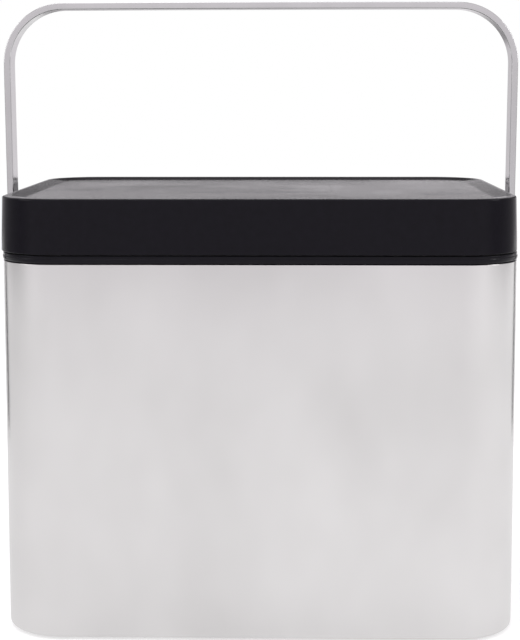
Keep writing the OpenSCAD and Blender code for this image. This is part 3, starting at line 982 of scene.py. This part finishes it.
# Soft lamps: name, place, height of the point on the Z axis that they aim at, size, watts
LAMPS = (
    ("overhead_lamp", (-0.3, -0.2, 2.0), 0.1, (1.6, 1.2), 11),
    ("left_lamp", (-1.7, -0.7, 0.9), 0.12, (0.8, 1.2), 7),
    ("right_lamp", (1.7, -0.5, 0.9), 0.12, (0.5, 1.2), 8),
)


def make_lamps():
    """One large lamp overhead and one on each side."""
    for name, place, aim, size, power in LAMPS:
        lamp = bpy.data.lights.new(name, "AREA")
        lamp.shape = "RECTANGLE"
        lamp.size, lamp.size_y = size
        lamp.energy = power
        obj = bpy.data.objects.new(name, lamp)
        obj.location = place
        ahead = Vector((0, 0, aim)) - Vector(place)
        obj.rotation_euler = ahead.to_track_quat("-Z", "Y").to_euler()
        bpy.context.scene.collection.objects.link(obj)


def make_camera():
    """The photograph's view: from the front, a little above the lid and right of the middle."""
    stage = bpy.context.scene.caddy_stage
    data = bpy.data.cameras.new("camera")
    data.sensor_fit = "AUTO"
    data.sensor_width = 36
    data.lens = stage.lens
    data.clip_start = 0.01
    camera = bpy.data.objects.new("camera", data)
    pitch, yaw, roll = stage.camera_pitch, stage.camera_yaw, stage.camera_roll
    ahead = Vector((sin(yaw) * cos(pitch), cos(yaw) * cos(pitch), -sin(pitch)))
    level = Vector((cos(yaw), -sin(yaw), 0))
    up = level.cross(ahead)
    right = cos(roll) * level + sin(roll) * up
    top = -sin(roll) * level + cos(roll) * up
    turn = Matrix((right, top, -ahead)).transposed().to_4x4()
    camera.matrix_world = Matrix.Translation(Vector(stage.camera_place)) @ turn
    bpy.context.scene.collection.objects.link(camera)
    bpy.context.scene.camera = camera


# ---- properties

def maker(make=bpy.props.FloatProperty, **kind):
    """A function that makes properties of one kind from a name, a description and a default."""
    def prop(name, description, default):
        return make(name=name, description=description, default=default, **kind)
    return prop


length = maker(unit="LENGTH", subtype="DISTANCE")
factor = maker(subtype="FACTOR", min=0.0, max=4.0)
angle = maker(unit="ROTATION", subtype="ANGLE")
colour = maker(bpy.props.FloatVectorProperty, subtype="COLOR", size=3, min=0.0, max=1.0)
position = maker(bpy.props.FloatVectorProperty, subtype="XYZ", unit="LENGTH", size=3)
focal_length = maker(unit="CAMERA")


class CaddyBodySizes(bpy.types.PropertyGroup):
    corner_radius: length("Corner radius", "Radius of the body's upright corners", 28 * MM)
    sheet: length("Sheet", "Thickness of the steel sheet", 0.7 * MM)
    foot_turn: length("Foot turn", "Radius where the steel turns under", 2 * MM)
    turned_edge: length("Turned edge", "Width of the steel edge under the base", 8 * MM)
    foot_offset: length("Foot offset", "Offset of the steel's foot", 0.4 * MM)
    top_offset: length("Top offset", "Offset of the steel's upper edge", -0.95 * MM)
    collar_out: length("Collar offset", "Offset of the collar's outer face", -0.62 * MM)
    collar_lip: length("Collar lip", "Height of the set-back lip at the collar's top", 1.2 * MM)
    steel_colour: colour("Steel", "The body's steel where it is palest", (0.812, 0.796, 0.798))


class CaddyHandleSizes(bpy.types.PropertyGroup):
    strap_thickness: length("Strap thickness", "Thickness of the handle's bar", 3.2 * MM)
    bend_radius: length("Bend radius", "Outer radius of the handle's two bends", 30 * MM)
    edge_ease: length("Edge ease", "Rounding along the bar's edges", 0.42 * MM)
    crown: length("Crown", "How much the top bar bows up in the middle", 0.2 * MM)
    lean: length("Lean", "How far the bail is sprung to the left above its pivots", 0.88 * MM)
    steel_colour: colour("Steel", "The handle's steel where it is palest", (0.695, 0.69, 0.696))


class CaddyLidSizes(bpy.types.PropertyGroup):
    low_offset: length("Lower edge", "Offset of the lid's lower edge", -0.5 * MM)
    draft: length("Draft", "How much each side leans in towards the top", 0.9 * MM)
    rim_width: length("Rim width", "Width of the raised rim round the top", 2 * MM)
    recess_slope: length("Recess slope", "Width of the slope down to the top panel", 8.6 * MM)
    shift: length("Shift", "How far the lid sits to the left on its hinges", 0.38 * MM)
    plastic_colour: colour("Plastic", "Colour of the lid and the collar",
                           (0.0067, 0.0058, 0.0094))


class CaddyStageSettings(bpy.types.PropertyGroup):
    floor_size: length("Floor", "Side of the square floor", 3.6)
    floor_glow: factor("Floor white", "Light the floor adds where the camera sees it", 0.4)
    floor_mirror_near: factor("Near floor in mirrors",
                              "Light the near floor adds in reflections", 0.77)
    floor_mirror_far: factor("Far floor in mirrors",
                             "Light the far floor adds in reflections", 0.74)
    back_light: factor("Back", "Light from just over the horizon behind the object", 0.92)
    back_low: factor("Back, low", "Light from behind the object up to the horizon", 0.66)
    back_fall: factor("Back, fall", "Share of the back light that is left higher up", 0.07)
    edge_dark: factor("Edge", "Light from the strips beside the back", 0.45)
    side_light: factor("Sides", "Light from the two sides", 0.36)
    front_light: factor("Front", "Light from in front", 0.735)
    top_light: factor("Top", "Light from overhead", 0.68)
    light_colour: colour("Light colour", "Colour of the light all round", (1.0, 0.965, 1.0))
    card_distance: length("Card distance", "How far the dark cards stand from the corners", 0.45)
    card_width: length("Card width", "Width of the dark cards", 0.08)
    card_height: length("Card height", "Height of the dark cards", 0.14)
    lens: focal_length("Lens", "Focal length in millimetres", 82.81)
    camera_place: position("Camera", "Where the camera stands", (0.0161, -0.75293, 0.25461))
    camera_pitch: angle("Pitch", "How far the camera looks down", 0.1538)
    camera_yaw: angle("Yaw", "How far the camera turns to the right", -0.0231)
    camera_roll: angle("Roll", "How far the camera leans", -0.0014)


# ---- operators

class CADDY_OT_body(bpy.types.Operator):
    """Build the steel sleeve"""
    bl_idname = "caddy.body"
    bl_label = "Steel Sleeve"

    def execute(self, context):
        make_sleeve()
        return {"FINISHED"}


class CADDY_OT_base(bpy.types.Operator):
    """Build the base plate and the rubber feet"""
    bl_idname = "caddy.base"
    bl_label = "Base and Feet"

    def execute(self, context):
        make_base()
        return {"FINISHED"}


class CADDY_OT_collar(bpy.types.Operator):
    """Build the plastic collar with its pivot ears and hinge knuckles"""
    bl_idname = "caddy.collar"
    bl_label = "Collar"

    def execute(self, context):
        make_collar()
        return {"FINISHED"}


class CADDY_OT_bucket(bpy.types.Operator):
    """Build the lift-out inner bucket"""
    bl_idname = "caddy.bucket"
    bl_label = "Inner Bucket"

    def execute(self, context):
        make_bucket()
        return {"FINISHED"}


class CADDY_OT_handle(bpy.types.Operator):
    """Build the strap handle"""
    bl_idname = "caddy.handle"
    bl_label = "Strap Handle"

    def execute(self, context):
        make_strap()
        return {"FINISHED"}


class CADDY_OT_pins(bpy.types.Operator):
    """Build the pivot rivets, washers, nuts and hinge rods"""
    bl_idname = "caddy.pins"
    bl_label = "Pins and Washers"

    def execute(self, context):
        make_pivots()
        return {"FINISHED"}


class CADDY_OT_lid(bpy.types.Operator):
    """Build the lid and the plate let into its top"""
    bl_idname = "caddy.lid"
    bl_label = "Lid"

    def execute(self, context):
        make_lid()
        return {"FINISHED"}


class CADDY_OT_lid_inside(bpy.types.Operator):
    """Build the lid's liner, seal, screws, charcoal pad and filter door"""
    bl_idname = "caddy.lid_inside"
    bl_label = "Inside of the Lid"

    def execute(self, context):
        make_lid_inside()
        return {"FINISHED"}


class CADDY_OT_stage(bpy.types.Operator):
    """Set the floor, the studio light and the camera"""
    bl_idname = "caddy.stage"
    bl_label = "Stage"

    def execute(self, context):
        make_floor()
        make_cards()
        make_world()
        make_lamps()
        make_camera()
        context.scene.view_settings.view_transform = "Standard"
        return {"FINISHED"}


OPERATORS = (CADDY_OT_body, CADDY_OT_base, CADDY_OT_collar, CADDY_OT_bucket, CADDY_OT_handle,
             CADDY_OT_pins, CADDY_OT_lid, CADDY_OT_lid_inside, CADDY_OT_stage)


class CADDY_PT_panel(bpy.types.Panel):
    """Sizes, colours and build steps of the caddy"""
    bl_idname = "CADDY_PT_panel"
    bl_label = "Compost Caddy"
    bl_space_type = "VIEW_3D"
    bl_region_type = "UI"
    bl_category = "Caddy"

    def draw(self, context):
        scene = context.scene
        for title, group in (("Body", scene.caddy_body), ("Handle", scene.caddy_handle),
                             ("Lid", scene.caddy_lid), ("Stage", scene.caddy_stage)):
            box = self.layout.box()
            box.label(text=title)
            for name in group.__annotations__:
                box.prop(group, name)
        column = self.layout.column(align=True)
        for operator in OPERATORS:
            column.operator(operator.bl_idname)


GROUPS = {"caddy_body": CaddyBodySizes, "caddy_handle": CaddyHandleSizes,
          "caddy_lid": CaddyLidSizes, "caddy_stage": CaddyStageSettings}
CLASSES = (*GROUPS.values(), *OPERATORS, CADDY_PT_panel)


def register():
    for made in CLASSES:
        bpy.utils.register_class(made)
    for name, group in GROUPS.items():
        setattr(bpy.types.Scene, name, bpy.props.PointerProperty(type=group))


def unregister():
    for name in GROUPS:
        delattr(bpy.types.Scene, name)
    for made in reversed(CLASSES):
        bpy.utils.unregister_class(made)


def main():
    register()
    for operator in OPERATORS:
        group, name = operator.bl_idname.split(".")
        getattr(getattr(bpy.ops, group), name)()


if __name__ == "__main__":
    main()
